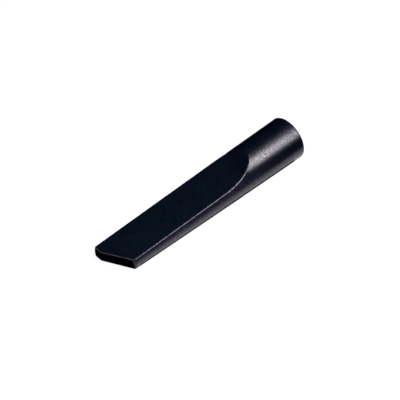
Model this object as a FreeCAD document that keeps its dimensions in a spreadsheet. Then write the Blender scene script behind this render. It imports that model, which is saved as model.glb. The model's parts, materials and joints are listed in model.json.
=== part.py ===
"""Vacuum crevice tool: a one-piece moulded nozzle that goes from a round wand socket to a flat slot.

The tool is drawn along its own axis, with the socket's open end at the origin and the tip towards -Y.
It is made as it is moulded: an outer form, a core of the same family of shapes one wall further in,
and the core taken out of the form. The body's placement then lays the tool down as it comes to rest,
on the belly of the socket and the lower edge of the tip.
"""
import FreeCAD, Part
import os
from math import radians

import Sketcher

NODE = "crevice_tool"
SHEET = "Sizes"

# How a sketch numbers the points of a curve, and the curve that stands for its own origin.
START, END, CENTRE = 1, 2, 3
ORIGIN = -1

FULL_TURN = 360
# Angles at which a scoop's arc is first drawn. The constraints then move its ends to where they belong.
ARC_FROM, ARC_TO = radians(-90), radians(-55)

# Driving sizes, in millimetres and degrees, each with what it measures.
SIZES = {
    "socket_bore": (32.0, "inside diameter of the socket, for a 32 mm wand end"),
    "socket_depth": (40.0, "straight part of the socket, from its open end"),
    "wall": (2.0, "thickness of the moulded wall"),
    "overall_length": (189.0, "from the socket's end to the tip, along the axis"),
    "draft_angle": (0.8, "taper of the round outside, each side"),
    "tip_height": (10.4, "outside height of the flat tip"),
    "flat_angle": (1.7, "slope of each flat to the axis"),
    "scoop_start": (48.0, "from the socket's end to the highest point of a scoop"),
    "scoop_radius": (75.0, "hollow arc by which a flat runs up to the round"),
    "land_width": (7.8, "square part of the tip, in from its longer side"),
    "mouth_angle": (30.0, "how far the rest of the mouth is cut back"),
    "land_round": (4.0, "plan radius between the square and the cut back part"),
    "corner_round": (1.5, "upright corners at the two ends of the mouth"),
    "edge_round": (1.0, "rounding all round the outline of each flat"),
    "core_round": (0.6, "rounding along the creases inside"),
    "rim_round": (1.4, "outer edge of the socket's rim"),
    "lead_in": (0.8, "chamfer that guides the wand end in"),
    "overcut": (5.0, "how far a cutting shape runs past the face it cuts"),
}


def size(name):
    """Return the driving size of that name."""
    return SIZES[name][0]


def cell(name):
    """Return the expression that reads the sheet's cell of that name."""
    return f"{SHEET}.{name}"


# Expressions that several dimensions are bound to, worked out from the driving sizes.
BORE_RADIUS = f"({cell('socket_bore')} / 2)"
DRAFT = f"tan({cell('draft_angle')})"
FORM_RADIUS = f"({BORE_RADIUS} + {cell('wall')} + {cell('socket_depth')} * {DRAFT})"
SCOOP_HEIGHT = f"({FORM_RADIUS} - {cell('scoop_start')} * {DRAFT})"
TIP_RADIUS = f"({FORM_RADIUS} - {cell('overall_length')} * {DRAFT})"
CUT_LENGTH = f"({cell('overall_length')} + {cell('overcut')})"
CUT_RADIUS = f"({FORM_RADIUS} + {cell('overcut')})"
REST_PITCH = (f"atan(({SCOOP_HEIGHT} - {cell('tip_height')} / 2)"
              f" / ({cell('overall_length')} - {cell('scoop_start')}))")


def make_sheet(doc):
    """Write the driving sizes into a spreadsheet, one row each, with an alias."""
    sheet = doc.addObject("Spreadsheet::Sheet", SHEET)
    for row, (name, (value, meaning)) in enumerate(SIZES.items(), start=1):
        sheet.set(f"A{row}", name)
        sheet.set(f"B{row}", str(value))
        sheet.set(f"C{row}", meaning)
        sheet.setAlias(f"B{row}", name)
    doc.recompute()


def origin_plane(body, role):
    """Return the body's own origin plane with that role."""
    return next(item for item in body.Origin.OriginFeatures if item.Role == role)


def new_sketch(body, name, role):
    """Start a sketch on one of the body's origin planes."""
    sketch = body.newObject("Sketcher::SketchObject", name)
    sketch.AttachmentSupport = [(origin_plane(body, role), "")]
    sketch.MapMode = "FlatFace"
    return sketch


def point(along, across):
    """Return a point of a sketch, by its distances along the sketch's two axes."""
    return FreeCAD.Vector(along, across, 0)


def join(sketch, *curves):
    """Join curves in a ring, the end of each to the start of the next."""
    for curve, following in zip(curves, curves[1:] + curves[:1]):
        sketch.addConstraint(Sketcher.Constraint("Coincident", curve, END, following, START))


def add_polygon(sketch, corners):
    """Draw a closed run of straight lines through the corners, and return the lines' numbers."""
    pairs = zip(corners, corners[1:] + corners[:1])
    lines = [sketch.addGeometry(Part.LineSegment(start, end)) for start, end in pairs]
    join(sketch, *lines)
    return lines


def hold(sketch, kind, *lines):
    """Hold lines Horizontal or Vertical in their sketch."""
    for line in lines:
        sketch.addConstraint(Sketcher.Constraint(kind, line))


def bind(sketch, name, constraint, expression):
    """Add a named dimension to a sketch and bind it to the sheet."""
    number = sketch.addConstraint(constraint)
    sketch.renameConstraint(number, name)
    sketch.setExpression(f"Constraints.{name}", expression)


def bind_point(sketch, name, curve, end, along=None, across=None):
    """Bind one end of a curve to its distances from the sketch's origin, along the sketch's two axes."""
    drawn = sketch.getPoint(curve, end)
    for kind, place, direction, expression in (
        ("DistanceX", drawn.x, "along", along),
        ("DistanceY", drawn.y, "across", across),
    ):
        if expression:
            constraint = Sketcher.Constraint(kind, ORIGIN, START, curve, end, place)
            bind(sketch, f"{name}_{direction}", constraint, expression)


def revolve(doc, body, sketch):
    """Turn a half section, drawn above the tool's axis, into a solid."""
    solid = body.newObject("PartDesign::Revolution", f"{body.Name}_round")
    solid.Profile = sketch
    solid.ReferenceAxis = (sketch, ["H_Axis"])
    solid.Angle = FULL_TURN
    doc.recompute()


def cut_through(doc, body, name, sketch):
    """Cut a sketch right through the body, both ways, and check that it took material away."""
    doc.recompute()
    before = body.Shape.Volume
    pocket = body.newObject("PartDesign::Pocket", name)
    pocket.Profile = sketch
    pocket.Type = "ThroughAll"
    pocket.SideType = "Symmetric"
    doc.recompute()
    if not pocket.Shape.Volume < before:
        raise RuntimeError(f"{name} cuts nothing")
    return pocket


def is_flat(face):
    """Tell whether a face belongs to a flat: its plane, or the scoop at the end of it."""
    if isinstance(face.Surface, Part.Plane):
        return abs(face.Surface.Axis.z) > abs(face.Surface.Axis.y)
    return isinstance(face.Surface, Part.Cylinder) and abs(face.Surface.Axis.x) > abs(face.Surface.Axis.y)


def is_not_flat(face):
    """Tell whether a face belongs to neither flat."""
    return not is_flat(face)


def is_round(face):
    """Tell whether a face is the tapered round."""
    return isinstance(face.Surface, Part.Cone)


def is_upright(face):
    """Tell whether a face is a plane that ends the tool, at the socket or at the tip."""
    return isinstance(face.Surface, Part.Plane) and not is_flat(face)


def is_mouth(face):
    """Tell whether a face is one of the two upright planes that end the tip."""
    return is_upright(face) and face.CenterOfMass.y < -size("scoop_start")


def is_rim(face):
    """Tell whether a face is the upright plane that ends the socket."""
    return is_upright(face) and face.CenterOfMass.y > -size("scoop_start")


def fillet(doc, body, name, one_side, other_side, radius):
    """Round each edge that has one kind of face on one side and another kind on the other."""
    base = body.Tip
    edges = []
    for number, edge in enumerate(base.Shape.Edges, start=1):
        faces = base.Shape.ancestorsOfType(edge, Part.Face)
        if len(faces) == 2 and any(one_side(a) and other_side(b) for a, b in (faces, faces[::-1])):
            edges.append(f"Edge{number}")
    if not edges:
        raise RuntimeError(f"{name} finds no edge")
    rounding = body.newObject("PartDesign::Fillet", name)
    rounding.Base = (base, edges)
    rounding.setExpression("Radius", cell(radius))
    doc.recompute()


def add_flats(doc, body, inset=None):
    """Cut the two flats, each with its scoop, as far inside the outer skin as the size named `inset`.

    Seen from the side, a flat is a straight line from the tip and an arc tangent to it. The arc's
    centre is set by a circle of the scoop's own radius through the highest point of the scoop, so that
    a flat further inside keeps that centre and leaves a wall of even thickness.
    """
    depth = cell(inset) if inset else "0"
    reach, roof_height = -size("overall_length"), size("socket_bore")
    bend = point(-size("scoop_start") - size("scoop_radius") / 2, size("tip_height"))
    centre = bend + point(0, size("scoop_radius"))
    circle = Part.Circle(centre, FreeCAD.Vector(0, 0, 1), size("scoop_radius"))

    sketch = new_sketch(body, f"{body.Name}_flat_profile", "YZ_Plane")
    flat = sketch.addGeometry(Part.LineSegment(point(reach, size("tip_height") / 2), bend))
    scoop = sketch.addGeometry(Part.ArcOfCircle(circle, ARC_FROM, ARC_TO))
    roof = sketch.addGeometry(Part.LineSegment(sketch.getPoint(scoop, END), point(reach, roof_height)))
    front = sketch.addGeometry(Part.LineSegment(point(reach, roof_height), sketch.getPoint(flat, START)))
    skin = sketch.addGeometry(circle, True)
    peak = sketch.addGeometry(Part.Point(point(-size("scoop_start"), size("socket_bore") / 2)), True)

    join(sketch, flat, scoop, roof, front)
    sketch.addConstraint(Sketcher.Constraint("Tangent", flat, scoop))
    sketch.addConstraint(Sketcher.Constraint("Coincident", skin, CENTRE, scoop, CENTRE))
    sketch.addConstraint(Sketcher.Constraint("PointOnObject", peak, START, skin))
    hold(sketch, "Horizontal", roof)
    hold(sketch, "Vertical", front)
    bind(sketch, "slope", Sketcher.Constraint("Angle", flat, radians(size("flat_angle"))),
         cell("flat_angle"))
    bind(sketch, "skin_radius", Sketcher.Constraint("Radius", skin, size("scoop_radius")),
         cell("scoop_radius"))
    bind(sketch, "arc_radius", Sketcher.Constraint("Radius", scoop, size("scoop_radius")),
         f"{cell('scoop_radius')} + {depth}")
    bind_point(sketch, "peak", peak, START, f"-{cell('scoop_start')}", SCOOP_HEIGHT)
    bind_point(sketch, "roof", roof, END, f"-{CUT_LENGTH}", CUT_RADIUS)
    bind_point(sketch, "tip", flat, START,
               across=f"{cell('tip_height')} / 2 - {depth} / cos({cell('flat_angle')})"
                      f" - {cell('overcut')} * tan({cell('flat_angle')})")

    upper = cut_through(doc, body, f"{body.Name}_upper_flat", sketch)
    lower = body.newObject("PartDesign::Mirrored", f"{body.Name}_lower_flat")
    lower.Originals = [upper]
    lower.MirrorPlane = (origin_plane(body, "XY_Plane"), [""])
    body.Tip = lower
    doc.recompute()


def make_core(doc):
    """Build the inside of the tool as a solid: the socket, then a passage parallel to the outside."""
    body = doc.addObject("PartDesign::Body", "core")
    sketch = new_sketch(body, "core_section", "YZ_Plane")
    bore, depth, reach = size("socket_bore") / 2, size("socket_depth"), size("overall_length")
    open_end, flare, socket, passage, tip, axis = add_polygon(sketch, [
        point(size("overcut"), 0),
        point(size("overcut"), bore + size("overcut")),
        point(-size("lead_in"), bore),
        point(-depth, bore),
        point(-reach, bore - size("wall")),
        point(-reach, 0),
    ])
    hold(sketch, "Vertical", open_end, tip)
    hold(sketch, "Horizontal", socket, axis)
    bind_point(sketch, "open_end", open_end, START, cell("overcut"), "0")
    bind_point(sketch, "flare", flare, START,
               across=f"{BORE_RADIUS} + {cell('lead_in')} + {cell('overcut')}")
    bind_point(sketch, "socket", socket, START, f"-{cell('lead_in')}", BORE_RADIUS)
    bind_point(sketch, "passage", passage, START, f"-{cell('socket_depth')}")
    bind_point(sketch, "tip", tip, START, f"-{CUT_LENGTH}",
               f"{BORE_RADIUS} - ({CUT_LENGTH} - {cell('socket_depth')}) * {DRAFT}")
    revolve(doc, body, sketch)
    add_flats(doc, body, "wall")
    fillet(doc, body, "core_creases", is_flat, is_round, "core_round")
    return body


def cut_mouth(doc, body):
    """Trim the tip in plan: square across a short land, then cut back on a slant."""
    sketch = new_sketch(body, "mouth_plan", "XY_Plane")
    reach, side = size("overall_length"), size("socket_bore")
    land, left, front, right, slant = add_polygon(sketch, [
        point(size("land_width") - side / 2, -reach),
        point(-side, -reach),
        point(-side, -reach - size("overcut")),
        point(side, -reach - size("overcut")),
        point(side, -reach + side / 2),
    ])
    hold(sketch, "Horizontal", land, front)
    hold(sketch, "Vertical", left, right)
    bind_point(sketch, "land", land, START,
               f"{cell('land_width')} - {TIP_RADIUS}", f"-{cell('overall_length')}")
    bind_point(sketch, "left", left, END, f"-{CUT_RADIUS}", f"-{CUT_LENGTH} - {cell('overcut')}")
    bind_point(sketch, "slant", slant, START, CUT_RADIUS,
               f"({CUT_RADIUS} + {TIP_RADIUS} - {cell('land_width')}) * tan({cell('mouth_angle')})"
               f" - {cell('overall_length')}")
    cut_through(doc, body, "mouth", sketch)


def make_form(doc):
    """Build the outside of the tool as a solid: a tapered round, its two flats and the slanting mouth."""
    body = doc.addObject("PartDesign::Body", NODE)
    sketch = new_sketch(body, "form_section", "YZ_Plane")
    radius, reach = size("socket_bore") / 2 + size("wall"), size("overall_length")
    rim, side, tip, axis = add_polygon(sketch, [
        point(0, 0),
        point(0, radius),
        point(-reach, radius - size("wall")),
        point(-reach, 0),
    ])
    hold(sketch, "Vertical", rim, tip)
    hold(sketch, "Horizontal", axis)
    sketch.addConstraint(Sketcher.Constraint("Coincident", rim, START, ORIGIN, START))
    bind_point(sketch, "rim", side, START, across=FORM_RADIUS)
    bind_point(sketch, "tip", tip, START, f"-{CUT_LENGTH}", f"{FORM_RADIUS} - {CUT_LENGTH} * {DRAFT}")
    revolve(doc, body, sketch)
    fillet(doc, body, "rim_edge", is_rim, is_round, "rim_round")
    add_flats(doc, body)
    cut_mouth(doc, body)
    fillet(doc, body, "land_corner", is_mouth, is_mouth, "land_round")
    fillet(doc, body, "mouth_corners", is_mouth, is_round, "corner_round")
    fillet(doc, body, "flat_outlines", is_flat, is_not_flat, "edge_round")
    return body


def lay_down(body):
    """Lay the tool on a table: tip down until the scoop's lower peak and the tip's lower edge touch it."""
    across = FreeCAD.Vector(1, 0, 0)
    body.Placement = FreeCAD.Placement(FreeCAD.Vector(), FreeCAD.Rotation(across, size("flat_angle")))
    body.setExpression("Placement.Rotation.Angle", REST_PITCH)
    body.setExpression("Placement.Base.y", f"({cell('overall_length')} * cos({REST_PITCH})"
                       f" - ({FORM_RADIUS} - {cell('tip_height')} / 2) * sin({REST_PITCH})) / 2")
    body.setExpression("Placement.Base.z", f"{cell('scoop_start')} * sin({REST_PITCH})"
                       f" + {SCOOP_HEIGHT} * cos({REST_PITCH})")


def make_tool(doc):
    """Take the core out of the form, and lay the hollow tool down."""
    core, body = make_core(doc), make_form(doc)
    hollow = body.newObject("PartDesign::Boolean", "hollow")
    hollow.setObjects([core])
    hollow.Type = "Cut"
    body.Tip = hollow
    body.Label = NODE
    doc.recompute()
    lay_down(body)
    doc.recompute()
    return body


def check(doc, parts):
    """Stop if any object of the document failed, or a part has no valid solid."""
    for item in doc.Objects:
        if {"Invalid", "Error"} & set(item.State):
            raise RuntimeError(f"{item.Name} failed: {item.State}")
    for part in parts:
        if part.Shape.isNull() or not part.Shape.isValid() or len(part.Shape.Solids) != 1:
            raise RuntimeError(f"{part.Label} is not one valid solid")


def main():
    """Build the document, check it and write the part."""
    doc = FreeCAD.newDocument(NODE)
    make_sheet(doc)
    parts = [make_tool(doc)]
    check(doc, parts)
    os.makedirs("parts", exist_ok=True)
    for part in parts:
        part.Shape.exportStep(f"parts/{part.Label}.step")


main()
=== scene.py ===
"""Studio scene of a black moulded crevice tool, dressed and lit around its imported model.

The tool is one moulding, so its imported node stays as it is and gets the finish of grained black
plastic. The rest is the stage: a pale floor that turns up into a backdrop, low cards round the
tool, soft lamps, a dim room and the camera.
Lengths are in metres and angles in degrees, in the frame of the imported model: +Z is up, and +Y
runs from the slot towards the socket.
"""

import json
import logging
import math
from dataclasses import dataclass
from enum import Enum
from typing import Any

import bmesh
import bpy
from mathutils import Matrix, Vector

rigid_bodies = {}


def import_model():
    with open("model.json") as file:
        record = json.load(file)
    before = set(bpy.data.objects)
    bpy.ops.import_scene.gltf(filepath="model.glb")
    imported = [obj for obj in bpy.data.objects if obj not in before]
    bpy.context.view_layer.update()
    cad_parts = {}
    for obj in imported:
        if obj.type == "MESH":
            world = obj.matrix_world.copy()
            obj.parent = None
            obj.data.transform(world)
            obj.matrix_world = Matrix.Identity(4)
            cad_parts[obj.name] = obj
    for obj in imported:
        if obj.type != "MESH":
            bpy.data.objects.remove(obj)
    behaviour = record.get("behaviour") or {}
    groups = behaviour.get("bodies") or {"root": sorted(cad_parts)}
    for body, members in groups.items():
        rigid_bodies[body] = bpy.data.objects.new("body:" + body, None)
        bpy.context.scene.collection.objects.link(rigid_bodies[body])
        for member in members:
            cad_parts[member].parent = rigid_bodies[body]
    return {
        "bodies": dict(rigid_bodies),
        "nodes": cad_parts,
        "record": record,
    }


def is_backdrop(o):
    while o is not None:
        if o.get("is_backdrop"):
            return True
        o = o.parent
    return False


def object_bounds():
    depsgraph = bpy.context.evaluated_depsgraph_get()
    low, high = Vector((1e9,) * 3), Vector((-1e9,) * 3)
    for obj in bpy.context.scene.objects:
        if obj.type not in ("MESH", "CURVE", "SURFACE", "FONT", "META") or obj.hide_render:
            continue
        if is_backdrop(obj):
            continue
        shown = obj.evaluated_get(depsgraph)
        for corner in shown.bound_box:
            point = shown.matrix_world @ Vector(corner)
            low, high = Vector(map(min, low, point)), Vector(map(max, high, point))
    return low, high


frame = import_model()

Colour = tuple[float, float, float]
Box = tuple[Vector, Vector]
Span = tuple[float, float]
Place = tuple[float, float, float]
Value = bpy.types.NodeSocket | float

TOOL_NODE = "crevice_tool"
LOG = logging.getLogger("crevice_tool_scene")

# Octaves that a noise adds to its first one, and the range that most of its values keep to.
NOISE_DETAIL = 1.0
NOISE_RANGE = (0.3, 0.7)

# Watts for each square metre of an area lamp that give its face a brightness of 1.
WATTS_FOR_WHITE = 4.0

SKY_BLUE = (0.25, 0.75, 1.0)


class SeenBy(Enum):
    """Kinds of ray that see the floor as the white background."""

    CAMERA = "Is Camera Ray"
    GLOSSY = "Is Glossy Ray"
    TRANSMISSION = "Is Transmission Ray"


@dataclass
class Wiring:
    """A node tree that is being wired up.

    Attributes:
        tree: The node tree of a material, a world or a node group.
    """

    tree: bpy.types.NodeTree

    def add(self, kind: str, **settings: Any) -> bpy.types.Node:
        """Adds a node and sets its properties.

        Args:
            kind: The node's type name in Blender.
            settings: Properties of the node, by name.

        Returns:
            The new node.
        """
        node = self.tree.nodes.new(kind)
        for name, value in settings.items():
            setattr(node, name, value)
        return node

    def link(self, source: bpy.types.NodeSocket, target: bpy.types.NodeSocket) -> None:
        """Joins an output socket to an input socket."""
        self.tree.links.new(source, target)

    def math(self, operation: str, first: Value, second: Value) -> bpy.types.NodeSocket:
        """Adds a Math node on two inputs, each a socket or a plain number.

        Args:
            operation: The node's operation, such as MULTIPLY.
            first: The first input.
            second: The second input.

        Returns:
            The node's output socket.
        """
        node = self.add("ShaderNodeMath", operation=operation)
        for socket, value in zip(node.inputs, (first, second)):
            if isinstance(value, bpy.types.NodeSocket):
                self.link(value, socket)
            else:
                socket.default_value = value
        return node.outputs[0]

    def mean(self, first: Value, second: Value) -> bpy.types.NodeSocket:
        """Gives the value half-way between two others."""
        return self.math("MULTIPLY", self.math("ADD", first, second), 0.5)

    def spread(
        self, value: bpy.types.NodeSocket, low: float, high: float, span: Span = (0.0, 1.0)
    ) -> bpy.types.NodeSocket:
        """Maps a value from one range to another, and stops at its ends.

        Args:
            value: The socket to map.
            low: The result at the start of the span.
            high: The result at its end.
            span: The range that the value comes in.

        Returns:
            The mapped value's socket.
        """
        node = self.add("ShaderNodeMapRange", clamp=True)
        node.inputs["From Min"].default_value, node.inputs["From Max"].default_value = span
        node.inputs["To Min"].default_value = low
        node.inputs["To Max"].default_value = high
        self.link(value, node.inputs["Value"])
        return node.outputs["Result"]

    def shade(self, value: bpy.types.NodeSocket, low: Colour, high: Colour) -> bpy.types.NodeSocket:
        """Maps a value from 0..1 to a run of colour.

        Args:
            value: The socket to map.
            low: The colour at 0.
            high: The colour at 1.

        Returns:
            The colour's socket.
        """
        node = self.add("ShaderNodeValToRGB")
        for stop, colour in zip(node.color_ramp.elements, (low, high)):
            stop.color = (*colour, 1.0)
        self.link(value, node.inputs["Fac"])
        return node.outputs["Color"]

    def noise(self, place: bpy.types.NodeSocket, size: float) -> bpy.types.NodeSocket:
        """Adds a noise whose features are about one size across.

        Args:
            place: The coordinates that it is laid out in.
            size: Size of the features.

        Returns:
            The noise value, stretched so that it uses all of 0..1.
        """
        node = self.add("ShaderNodeTexNoise")
        node.inputs["Scale"].default_value = 1.0 / size
        node.inputs["Detail"].default_value = NOISE_DETAIL
        self.link(place, node.inputs["Vector"])
        return self.spread(node.outputs["Fac"], 0.0, 1.0, NOISE_RANGE)

    def bump(
        self, height: bpy.types.NodeSocket, depth: float, under: bpy.types.NodeSocket | None = None
    ) -> bpy.types.NodeSocket:
        """Adds relief to the surface, on top of other relief if there is some.

        Args:
            height: Where the relief is high, from 0 to 1.
            depth: How far the relief goes from 0 to 1.
            under: The normal of the relief below it.

        Returns:
            The bent normal's socket.
        """
        node = self.add("ShaderNodeBump")
        node.inputs["Distance"].default_value = depth
        self.link(height, node.inputs["Height"])
        if under:
            self.link(under, node.inputs["Normal"])
        return node.outputs["Normal"]


def clear_wiring(owner: bpy.types.ID) -> Wiring:
    """Empties the node tree of a material or world.

    Args:
        owner: The material or world.

    Returns:
        The wiring of its empty tree.
    """
    owner.use_nodes = True
    owner.node_tree.nodes.clear()
    return Wiring(owner.node_tree)


@dataclass(frozen=True)
class GrainedPlastic:
    """Black polypropylene from a spark-eroded mould: satin, with a fine pebbled grain.

    The skin of the moulding is a coat, which is glossier on the tops of the pebbles.

    Attributes:
        name: The material's name.
        dark: Darkest base colour, a blue-black.
        light: Lightest base colour, where the pigment is thinner.
        roughness: Middle roughness of the skin.
        cloud_swing: How far roughness goes either way from one cloud to the next.
        pebble_swing: How far roughness goes either way from a pebble's foot to its top.
        reflectance: Specular level under the skin, below the usual half because the grain scatters.
        thin_skin: Weight of the glossy skin at a pebble's foot.
        thick_skin: Weight of the glossy skin on a pebble's top.
        sheen_tint: Colour of the reflections seen straight on, a trace of violet.
        pebble: Size of the grain's pebbles.
        pebble_depth: Height of the pebbles.
        speck: Size of the fine erosion on them.
        speck_depth: Height of the fine erosion.
        cloud: Size of the slow changes in gloss and pigment from the flow in the mould.
    """

    name: str = "grained_black_plastic"
    dark: Colour = (0.0002, 0.0005, 0.0016)
    light: Colour = (0.0009, 0.002, 0.006)
    roughness: float = 0.225
    cloud_swing: float = 0.02
    pebble_swing: float = 0.02
    reflectance: float = 0.15
    thin_skin: float = 0.0
    thick_skin: float = 0.76
    sheen_tint: Colour = (0.85, 0.72, 1.0)
    pebble: float = 0.0009
    pebble_depth: float = 0.00003
    speck: float = 0.00035
    speck_depth: float = 0.000003
    cloud: float = 0.02

    def build(self) -> bpy.types.Material:
        """Makes the material.

        Returns:
            The finished material.
        """
        material = bpy.data.materials.new(self.name)
        wiring = clear_wiring(material)
        place = wiring.add("ShaderNodeTexCoord").outputs["Object"]
        clouds = wiring.noise(place, self.cloud)
        pebbles = wiring.noise(place, self.pebble)
        pigment = wiring.shade(wiring.mean(clouds, pebbles), self.dark, self.light)
        erosion = wiring.bump(wiring.noise(place, self.speck), self.speck_depth)
        grain = wiring.bump(pebbles, self.pebble_depth, erosion)
        flow = wiring.spread(clouds, self.roughness - self.cloud_swing, self.roughness + self.cloud_swing)
        roughness = wiring.math("ADD", flow, wiring.spread(pebbles, -self.pebble_swing, self.pebble_swing))
        skin = wiring.spread(pebbles, self.thin_skin, self.thick_skin)

        plastic = wiring.add("ShaderNodeBsdfPrincipled")
        plastic.inputs["Specular IOR Level"].default_value = self.reflectance
        plastic.inputs["Specular Tint"].default_value = (*self.sheen_tint, 1.0)
        plastic.inputs["Coat Roughness"].default_value = self.roughness
        wiring.link(pigment, plastic.inputs["Base Color"])
        wiring.link(roughness, plastic.inputs["Roughness"])
        wiring.link(skin, plastic.inputs["Coat Weight"])
        wiring.link(grain, plastic.inputs["Normal"])
        output = wiring.add("ShaderNodeOutputMaterial")
        wiring.link(plastic.outputs["BSDF"], output.inputs["Surface"])
        return material


@dataclass
class CreviceTool:
    """The tool itself: one moulding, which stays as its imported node.

    Attributes:
        node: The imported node's object.
        finish: The plastic that it is moulded in.
    """

    node: bpy.types.Object
    finish: GrainedPlastic

    def dress(self) -> None:
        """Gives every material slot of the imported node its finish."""
        material = self.finish.build()
        for slot in self.node.material_slots:
            slot.material = material
        LOG.info("%s: %s", self.node.name, material.name)


@dataclass(frozen=True)
class PaleFloor:
    """White paper, seen as a white background that keeps a soft shadow of the tool.

    Attributes:
        name: The material's name.
        shade: Diffuse colour, which takes the shadow.
        glow: Light that the camera and reflections see on top of the shading, a cool white.
    """

    name: str = "floor_paper"
    shade: float = 0.1
    glow: Colour = (0.92, 0.9, 0.96)

    def build(self) -> bpy.types.Material:
        """Makes the material.

        Returns:
            The finished material.
        """
        material = bpy.data.materials.new(self.name)
        wiring = clear_wiring(material)
        light_path = wiring.add("ShaderNodeLightPath")
        seen: Value = 0.0
        for kind in SeenBy:
            seen = wiring.math("MAXIMUM", light_path.outputs[kind.value], seen)
        shading = wiring.add("ShaderNodeBsdfDiffuse")
        shading.inputs["Color"].default_value = (self.shade, self.shade, self.shade, 1.0)
        glowing = wiring.add("ShaderNodeEmission")
        glowing.inputs["Color"].default_value = (*self.glow, 1.0)
        wiring.link(seen, glowing.inputs["Strength"])
        both = wiring.add("ShaderNodeAddShader")
        wiring.link(shading.outputs["BSDF"], both.inputs[0])
        wiring.link(glowing.outputs["Emission"], both.inputs[1])
        output = wiring.add("ShaderNodeOutputMaterial")
        wiring.link(both.outputs["Shader"], output.inputs["Surface"])
        return material


def raise_edges(shape: bmesh.types.BMesh, edges: list[bmesh.types.BMEdge]) -> list[bmesh.types.BMVert]:
    """Extrudes edges into a wall that has no height yet.

    Args:
        shape: The mesh that they belong to.
        edges: The edges at the foot of the wall.

    Returns:
        The points along the top of the wall.
    """
    raised = bmesh.ops.extrude_edge_only(shape, edges=edges)["geom"]
    return [item for item in raised if isinstance(item, bmesh.types.BMVert)]


def stage_piece(name: str, shape: bmesh.types.BMesh, material: bpy.types.Material) -> bpy.types.Object:
    """Puts a finished mesh on the stage.

    Args:
        name: The name of the new object.
        shape: Its mesh, which is used up.
        material: Its finish.

    Returns:
        The new object.
    """
    mesh = bpy.data.meshes.new(name)
    shape.to_mesh(mesh)
    shape.free()
    mesh.materials.append(material)
    piece = bpy.data.objects.new(name, mesh)
    bpy.context.scene.collection.objects.link(piece)
    piece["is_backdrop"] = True
    LOG.info("%s: %s", name, material.name)
    return piece


@dataclass
class Floor:
    """The round floor that the tool lies on, with a backdrop round its edge.

    Attributes:
        finish: The material of both.
        radius: How far the floor reaches.
        backdrop: Height of the backdrop.
        sides: Edges round the floor.
    """

    finish: PaleFloor
    radius: float = 4.0
    backdrop: float = 0.8
    sides: int = 96

    def build(self) -> bpy.types.Object:
        """Lays the floor at the height that the tool rests on.

        Returns:
            The floor's object.
        """
        shape = bmesh.new()
        bmesh.ops.create_circle(shape, cap_ends=True, segments=self.sides, radius=self.radius)
        top = raise_edges(shape, shape.edges[:])
        bmesh.ops.translate(shape, vec=(0.0, 0.0, self.backdrop), verts=top)
        return stage_piece("floor", shape, self.finish.build())


@dataclass(frozen=True)
class BlackCard:
    """Matt black card, which gives nothing back; it is also the finish of the painted shadow on the floor.

    Attributes:
        name: The material's name.
        colour: Diffuse colour.
    """

    name: str = "black_card_and_painted_shadow"
    colour: Colour = (0.0, 0.0, 0.0)

    def build(self) -> bpy.types.Material:
        """Makes the material.

        Returns:
            The finished material.
        """
        material = bpy.data.materials.new(self.name)
        wiring = clear_wiring(material)
        paper = wiring.add("ShaderNodeBsdfDiffuse")
        paper.inputs["Color"].default_value = (*self.colour, 1.0)
        output = wiring.add("ShaderNodeOutputMaterial")
        wiring.link(paper.outputs["BSDF"], output.inputs["Surface"])
        return material


@dataclass(frozen=True)
class PaintedGlowCard:
    """Card with a painted glow, which puts a faint painted reflection of blue-violet light on the side of
    the nozzle.

    Attributes:
        name: The material's name.
        glow: Painted glow of the card beside the nozzle, where white paper is 1: a blue violet.
        fade: Where along +Y the glow starts to fade, and where it has gone.
        foot: Share of that painted glow that is added along the card's foot, for the white floor there.
        rise: Height at which the painted glow at the foot has gone.
    """

    name: str = "painted_glow_card"
    glow: Colour = (0.22, 0.21, 0.4)
    fade: Span = (0.055, 0.1)
    foot: float = 0.35
    rise: float = 0.04

    def build(self) -> bpy.types.Material:
        """Makes the material.

        Returns:
            The finished material.
        """
        material = bpy.data.materials.new(self.name)
        wiring = clear_wiring(material)
        axes = wiring.add("ShaderNodeSeparateXYZ")
        wiring.link(wiring.add("ShaderNodeTexCoord").outputs["Object"], axes.inputs["Vector"])
        # Painted glow, full beside the nozzle and fading towards the socket, plus a share painted along
        # the card's foot that stands for the white floor there.
        painted_glow_along = wiring.spread(axes.outputs["Y"], 1.0, 0.0, self.fade)
        painted_foot_glow = wiring.spread(axes.outputs["Z"], self.foot, 0.0, (0.0, self.rise))
        glowing = wiring.add("ShaderNodeEmission")
        glowing.inputs["Color"].default_value = (*self.glow, 1.0)
        wiring.link(wiring.math("ADD", painted_glow_along, painted_foot_glow), glowing.inputs["Strength"])
        output = wiring.add("ShaderNodeOutputMaterial")
        wiring.link(glowing.outputs["Emission"], output.inputs["Surface"])
        return material


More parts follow.
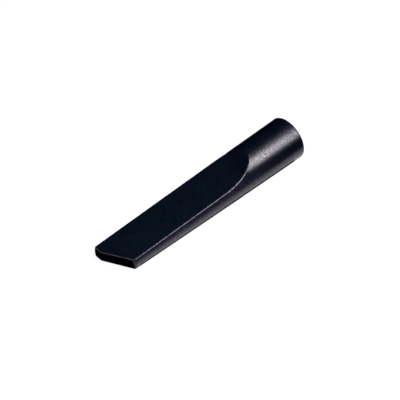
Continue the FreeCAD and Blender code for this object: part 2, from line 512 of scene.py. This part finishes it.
@dataclass
class CardCollar:
    """Cards round the tool, which grade the dark of its sides: only reflections see them.

    Three cards, at the two sides and behind the socket, stand further off and higher towards the
    socket, as the tool itself does, so that the white floor in front of them shows as an even line
    along its side. The one on the +X side carries a painted glow, the others are black. A black
    sheet in front of the mouth and a narrow black strip under the +X side are painted shadow, where
    the tool's own shadow would lie.

    Attributes:
        black: Finish of the black cards, and of the painted shadow in front of the mouth and along the
            strip.
        painted_glow_finish: Finish of the card on the +X side, which carries a painted glow.
        tip_gap: Clear floor beside the tool's box at the tip.
        tip_height: Height of the cards at the tip.
        socket_gap: Clear floor beside the tool's box at the socket.
        socket_height: Height of the cards at the socket.
        shadow_reach: How far the painted shadow runs out in front of the tool's box.
        shadow_length: How far the painted shadow in front runs in under the tip.
        shadow_inset: How far the front shadow's edge on the +X side lies in from the tool's box.
        shadow_lift: Height of the painted shadow and the strip over the floor.
        strip_tip: How far the strip reaches past the tool's box at the tip, where the tool is narrower.
        strip_socket: How far the strip reaches past the tool's box at the socket.
    """

    black: BlackCard
    painted_glow_finish: PaintedGlowCard
    tip_gap: float = 0.0048
    tip_height: float = 0.013
    socket_gap: float = 0.045
    socket_height: float = 0.058
    shadow_reach: float = 0.012
    shadow_length: float = 0.02
    shadow_inset: float = 0.003
    shadow_lift: float = 0.0002
    strip_tip: float = -0.0018
    strip_socket: float = 0.002

    def stand_cards(self, shape: bmesh.types.BMesh, feet: list[Place]) -> None:
        """Stands cards on the floor, one from each foot to the next.

        Args:
            shape: The mesh that they are added to.
            feet: Places of their lower corners, those beside the tip at a lower Y than 0.
        """
        points = [shape.verts.new(foot) for foot in feet]
        edges = [shape.edges.new(pair) for pair in zip(points, points[1:])]
        for point in raise_edges(shape, edges):
            point.co.z = self.tip_height if point.co.y < 0.0 else self.socket_height

    def lay_painted_shadow(self, shape: bmesh.types.BMesh, low: Vector, high: Vector) -> None:
        """Lays painted shadow on the floor: a black sheet in front of the mouth, and the strip from there
        to the socket.

        Args:
            shape: The mesh that they are added to.
            low: Lowest corner of the tool.
            high: Highest corner of the tool.
        """
        # Painted shadow in front of the mouth, where the tool's own shadow would lie.
        left, right = low.x - self.tip_gap, high.x - self.shadow_inset
        front, back = low.y - self.shadow_reach, low.y + self.shadow_length
        front_shadow = ((left, front), (right, front), (right, back), (left, back))
        # Painted shadow along the +X side, from there to the socket.
        middle = (low.x + high.x) / 2.0
        strip = (
            (middle, back),
            (high.x + self.strip_tip, back),
            (high.x + self.strip_socket, high.y),
            (middle, high.y),
        )
        for sheet in (front_shadow, strip):
            corners = [shape.verts.new((*corner, self.shadow_lift)) for corner in sheet]
            bmesh.ops.contextual_create(shape, geom=corners)

    def build(self, box: Box) -> list[bpy.types.Object]:
        """Sets the cards and the painted shadow out round the tool.

        Args:
            box: Lowest and highest corner of the tool.

        Returns:
            The object of the black cards and painted shadow, and the glowing card's.
        """
        low, high = box
        tip_end, socket_end = low.y - self.tip_gap, high.y + self.socket_gap
        right_tip = (high.x + self.tip_gap, tip_end, 0.0)
        right_socket = (high.x + self.socket_gap, socket_end, 0.0)
        left_socket = (low.x - self.socket_gap, socket_end, 0.0)
        left_tip = (low.x - self.tip_gap, tip_end, 0.0)

        # Black cards, with the painted shadow laid on the floor among them.
        dark = bmesh.new()
        self.stand_cards(dark, [right_socket, left_socket, left_tip])
        self.lay_painted_shadow(dark, low, high)
        # The card on the +X side, which carries a painted glow that only reflections see.
        pale = bmesh.new()
        self.stand_cards(pale, [right_tip, right_socket])
        cards = [
            stage_piece("black_cards_and_painted_shadow", dark, self.black.build()),
            stage_piece("painted_glow_card", pale, self.painted_glow_finish.build()),
        ]
        # Only reflections see the cards, the painted shadow and the painted glow.
        for card in cards:
            card.visible_camera = False
            card.visible_diffuse = False
            card.visible_transmission = False
            card.visible_shadow = False
        return cards


@dataclass(frozen=True)
class DimRoom:
    """The dark studio round the lamps.

    Attributes:
        colour: Colour of the walls and ceiling, as seen in the plastic.
    """

    colour: Colour = (0.014, 0.018, 0.026)

    def build(self) -> bpy.types.World:
        """Makes the world and gives it to the scene.

        Returns:
            The new world.
        """
        world = bpy.data.worlds.new("dim_room")
        wiring = clear_wiring(world)
        walls = wiring.add("ShaderNodeBackground")
        walls.inputs["Color"].default_value = (*self.colour, 1.0)
        output = wiring.add("ShaderNodeOutputWorld")
        wiring.link(walls.outputs["Background"], output.inputs["Surface"])
        bpy.context.scene.world = world
        LOG.info("room: %s", world.name)
        return world


@dataclass(frozen=True)
class Softbox:
    """A soft lamp, placed by angles round the tool's own length.

    Attributes:
        name: The lamp's name.
        roll: Angle round the tool: 0 on the +X side, 90 above it.
        lean: Angle along the tool, towards the socket's end.
        width: Size round the tool.
        length: Size along the tool.
        brightness: Radiance of the lamp's face, where white paper is 1.
        colour: Colour of its light.
        distance: How far the lamp is from the tool.
    """

    name: str
    roll: float
    lean: float
    width: float
    length: float
    brightness: float
    colour: Colour = (1.0, 1.0, 1.0)
    distance: float = 0.8

    def power(self) -> float:
        """Watts that give the lamp's face its brightness."""
        return WATTS_FOR_WHITE * self.width * self.length * self.brightness

    def build(self, centre: Vector, axis: Vector) -> bpy.types.Object:
        """Hangs the lamp, facing the tool.

        Args:
            centre: The point that the lamp faces.
            axis: The tool's length, from its slot to its socket.

        Returns:
            The lamp's object.
        """
        side = Vector((1.0, 0.0, 0.0))
        top = side.cross(axis).normalized()
        roll, lean = math.radians(self.roll), math.radians(self.lean)
        around = side * math.cos(roll) + top * math.sin(roll)
        outwards = around * math.cos(lean) + axis * math.sin(lean)
        along = axis * math.cos(lean) - around * math.sin(lean)
        across = along.cross(outwards)

        lamp = bpy.data.lights.new(self.name, "AREA")
        lamp.shape = "RECTANGLE"
        lamp.size = self.width
        lamp.size_y = self.length
        lamp.energy = self.power()
        lamp.color = self.colour
        body = bpy.data.objects.new(self.name, lamp)
        turn = Matrix((across, along, outwards)).transposed().to_4x4()
        body.matrix_world = Matrix.Translation(centre + outwards * self.distance) @ turn
        bpy.context.scene.collection.objects.link(body)
        LOG.info("%s: %.1f W", self.name, lamp.energy)
        return body


@dataclass(frozen=True)
class PhotoCamera:
    """The camera, at the viewing angle that fits the tool's outline.

    Attributes:
        azimuth: Angle round the tool: 0 looks along +Y.
        elevation: Angle above the floor.
        roll: Turn of the frame about the line of sight.
        distance: From the lens to the point it aims at.
        lens: Focal length in millimetres, on a sensor of the usual width.
        sensor: Width of the sensor in millimetres.
        aim: The point in the middle of the frame.
    """

    azimuth: float = 43.279
    elevation: float = 45.002
    roll: float = 5.334
    distance: float = 1.1589
    lens: float = 135.885
    sensor: float = 36.0
    aim: Place = (0.001411, -0.003319, 0.014208)

    def build(self) -> bpy.types.Object:
        """Sets the camera up and makes it the scene's own.

        Returns:
            The camera's object.
        """
        azimuth, elevation = math.radians(self.azimuth), math.radians(self.elevation)
        level = math.cos(elevation)
        back = Vector((math.sin(azimuth) * level, -math.cos(azimuth) * level, math.sin(elevation)))
        flat_right = Vector((math.cos(azimuth), math.sin(azimuth), 0.0))
        right = Matrix.Rotation(math.radians(self.roll), 3, back) @ flat_right
        up = back.cross(right)

        data = bpy.data.cameras.new("photo_camera")
        data.sensor_width = self.sensor
        data.lens = self.lens
        camera = bpy.data.objects.new("photo_camera", data)
        turn = Matrix((right, up, back)).transposed().to_4x4()
        camera.matrix_world = Matrix.Translation(Vector(self.aim) + back * self.distance) @ turn
        bpy.context.scene.collection.objects.link(camera)
        bpy.context.scene.camera = camera
        LOG.info("camera: azimuth %.1f, elevation %.1f", self.azimuth, self.elevation)
        return camera


# The first six panels hang side by side as the key, brightest in its middle and dim at its edges, so
# that the highlight on the socket has soft flanks. Their brightness was fitted to that highlight in
# the photo, then rounded and trimmed. The crease lamp lights the round of the crease at the top of the
# scoop, the front lamp the lips, the fill the far side, and the sky panel the flats.
LAMPS = (
    Softbox("key_softbox", roll=55.0, lean=25.5, width=0.255, length=0.3, brightness=16.2),
    Softbox("key_apron", roll=40.0, lean=25.5, width=0.126, length=0.3, brightness=10.8),
    Softbox("key_hem", roll=30.0, lean=25.5, width=0.126, length=0.3, brightness=2.2),
    Softbox("key_shoulder", roll=70.0, lean=25.5, width=0.126, length=0.3, brightness=8.6),
    Softbox("top_softbox", roll=80.0, lean=25.5, width=0.126, length=0.3, brightness=3.4),
    Softbox("top_edge", roll=92.5, lean=25.5, width=0.19, length=0.3, brightness=0.9),
    Softbox("crease_softbox", roll=76.0, lean=4.0, width=0.28, length=0.24, brightness=11.5),
    Softbox("front_softbox", roll=63.0, lean=-50.0, width=0.3, length=0.5, brightness=3.5),
    Softbox("fill_softbox", roll=150.0, lean=-42.0, width=0.18, length=0.46, brightness=4.0),
    Softbox("sky_panel", roll=115.0, lean=20.0, width=0.36, length=0.45, brightness=0.1, colour=SKY_BLUE),
)


def clear_stage() -> None:
    """Removes what Blender's start-up file holds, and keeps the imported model."""
    kept = {*frame["nodes"].values(), *frame["bodies"].values()}
    for thing in list(bpy.data.objects):
        if thing not in kept:
            bpy.data.objects.remove(thing)


def tool_axis() -> Vector:
    """The tool's length as a unit vector, read from the mount in its socket."""
    return Vector(frame["record"]["mounts"][0]["axis"]).normalized()


def main() -> None:
    """Builds the scene, piece by piece."""
    logging.basicConfig(level=logging.INFO, format="%(name)s: %(message)s")
    clear_stage()
    cad_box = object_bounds()
    bpy.context.scene.view_settings.view_transform = "Standard"
    CreviceTool(frame["nodes"][TOOL_NODE], GrainedPlastic()).dress()
    Floor(PaleFloor()).build()
    CardCollar(BlackCard(), PaintedGlowCard()).build(cad_box)
    DimRoom().build()
    centre = (cad_box[0] + cad_box[1]) / 2.0
    for lamp in LAMPS:
        lamp.build(centre, tool_axis())
    PhotoCamera().build()


if __name__ == "__main__":
    main()
